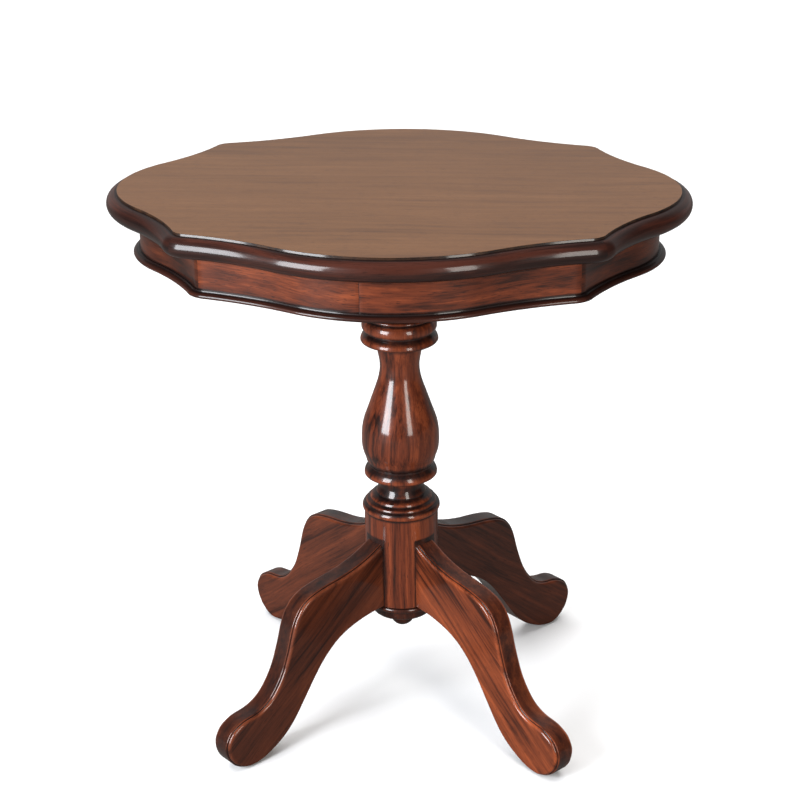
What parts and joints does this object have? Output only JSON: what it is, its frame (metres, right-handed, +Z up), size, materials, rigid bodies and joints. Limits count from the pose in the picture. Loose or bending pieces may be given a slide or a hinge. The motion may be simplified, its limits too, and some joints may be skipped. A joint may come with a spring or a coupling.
{
  "type": "tilt top table",
  "caption": "Oval tilt top table: shaped mahogany top with a deep apron, hinged on a block at the head of a turned pillar on sawn scroll legs, with a sliding catch under the top.",
  "frame": {"origin": "on the floor, under the pillar's axis, in the middle of the outer box", "axes": "+Z up through the pillar; +X along the long way of the oval top; -Y is the front, the side with the catch, which lifts when the top tilts"},
  "size_m": [0.748, 0.5716, 0.74],
  "materials": {
    "top_veneer": "polished",
    "edge_wood": "polished",
    "apron_veneer": "polished",
    "moulding_wood": "polished",
    "inner_wood": "raw",
    "block_wood": "waxed",
    "steel": "satin",
    "brass": "polished",
    "pillar_wood": "polished",
    "leg_wood": "polished",
    "cap_wood": "polished"
  },
  "bodies": {
    "base": {"tenon_wedge": "inner_wood", "tilt_block": "block_wood", "pivot_pin_left": "steel", "pivot_pin_right": "steel", "glides": "steel", "keeper": "brass", "keeper_screws": "brass", "pillar": "pillar_wood", "leg_front_left": "leg_wood", "leg_front_right": "leg_wood", "leg_back_left": "leg_wood", "leg_back_right": "leg_wood", "base_cap": "cap_wood", "drop_finial": "cap_wood"},
    "top": {"top_panel": "top_veneer", "edge_right": "edge_wood", "edge_back": "edge_wood", "edge_left": "edge_wood", "edge_front": "edge_wood", "apron_right": "apron_veneer", "apron_back_right": "apron_veneer", "apron_back_left": "apron_veneer", "apron_left": "apron_veneer", "apron_front_left": "apron_veneer", "apron_front_right": "apron_veneer", "moulding_right": "moulding_wood", "moulding_back": "moulding_wood", "moulding_left": "moulding_wood", "moulding_front": "moulding_wood", "corner_block_br": "inner_wood", "corner_block_bl": "inner_wood", "corner_block_fl": "inner_wood", "corner_block_fr": "inner_wood", "joint_block_back": "inner_wood", "joint_block_front": "inner_wood", "glue_blocks": "inner_wood", "bearer_left": "inner_wood", "bearer_right": "inner_wood", "bearer_screws": "steel", "catch_plate": "brass", "catch_screws": "brass"},
    "bolt": {"slide_bolt": "brass", "bolt_knob": "brass"}
  },
  "joints": [
    {"name": "top_tilt", "type": "hinge", "parent": "base", "child": "top", "pos_m": [0, 0.0975, 0.692], "axis": [-1, 0, 0], "range_deg": [0, 90]},
    {"name": "bolt_slide", "type": "slide", "parent": "top", "child": "bolt", "axis": [0, 1, 0], "range_m": [0, 0.013]}
  ]
}
